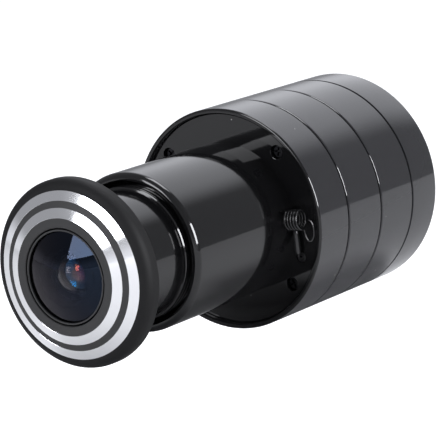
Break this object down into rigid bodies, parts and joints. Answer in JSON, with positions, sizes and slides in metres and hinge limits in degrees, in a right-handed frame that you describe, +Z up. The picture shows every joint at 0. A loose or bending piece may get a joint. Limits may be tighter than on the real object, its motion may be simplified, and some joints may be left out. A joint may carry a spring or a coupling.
{
  "type": "peephole door camera",
  "caption": "Cylindrical door viewer camera: grooved body behind the door, barrel through it, and a flanged bezel with a wide lens that screws into the barrel to clamp the door.",
  "frame": {"origin": "on the optical axis, in the plane of the body's front rim, which meets the inside face of the door", "axes": "lens toward -Y, body toward +Y, +X to the right as seen from in front of the lens, +Z up"},
  "size_m": [0.036, 0.0775, 0.036],
  "materials": {
    "gloss_black_metal": "turned aluminium under glossy black lacquer",
    "satin_black_metal": "satin black anodised aluminium",
    "polished_ring": "polished aluminium",
    "bare_aluminium": "turned aluminium",
    "dark_steel": "blackened steel",
    "plated_steel": "tin plated sheet steel",
    "coated_glass": "lens glass with a purple coating",
    "filter_glass": "coated filter glass",
    "black_plastic": "moulded black plastic",
    "pale_plastic": "moulded pale plastic",
    "circuit_board": "green solder mask on glass-fibre board",
    "chip_package": "moulded chip package",
    "ribbon_film": "amber polyimide film",
    "brass_contact": "plated brass",
    "seal_rubber": "black seal rubber",
    "coated_wire": "spring wire in black lacquer"
  },
  "bodies": {
    "housing": {"body_shell": "gloss_black_metal", "front_plate": "gloss_black_metal", "plate_screws": "dark_steel", "barrel_sleeve": "gloss_black_metal", "sleeve_nut": "bare_aluminium", "main_board": "circuit_board", "board_screws": "dark_steel", "processor": "chip_package", "radio_can": "plated_steel", "ribbon_socket": "pale_plastic", "antenna_socket": "brass_contact", "board_header": "black_plastic", "socket_board": "circuit_board", "socket_screws": "dark_steel", "power_socket": "plated_steel", "power_tongue": "black_plastic", "reset_switch": "black_plastic", "rear_cover": "gloss_black_metal", "seal_ring": "seal_rubber", "antenna_bush": "black_plastic", "antenna_shrink": "black_plastic", "antenna_coil": "coated_wire", "sensor_ribbon": "ribbon_film"},
    "lens_module": {"lens_front_glass": "coated_glass", "lens_retaining_ring": "satin_black_metal", "lens_barrel": "satin_black_metal", "lens_inner_element": "coated_glass", "lens_rear_element": "coated_glass", "infrared_filter": "filter_glass", "lens_carrier": "black_plastic", "key_tube": "black_plastic", "sensor_board": "circuit_board", "image_sensor": "chip_package", "sensor_screws": "dark_steel", "sensor_plug": "pale_plastic"},
    "bezel": {"front_bezel": "satin_black_metal", "outer_trim_ring": "polished_ring", "inner_trim_ring": "polished_ring", "carrier_ring": "satin_black_metal"},
    "button": {"reset_button": "black_plastic"}
  },
  "joints": [
    {"name": "bezel_travel", "type": "slide", "parent": "housing", "child": "lens_module", "axis": [0, -1, 0], "range_m": [-0.01, 0.01], "deforming": ["sensor_ribbon"]},
    {"name": "bezel_screw", "type": "hinge", "parent": "lens_module", "child": "bezel", "pos_m": [0, -0.0368, 0], "axis": [0, -1, 0], "range_deg": [-4800, 4800]},
    {"name": "reset_press", "type": "slide", "parent": "housing", "child": "button", "axis": [0, -1, 0], "range_m": [0, 0.0003], "stiffness_N_per_m": 3000, "springref_m": -0.0002}
  ],
  "couplings": [
    {"joint": "bezel_screw", "follows": "bezel_travel", "rad_per_m": 8377.6}
  ]
}
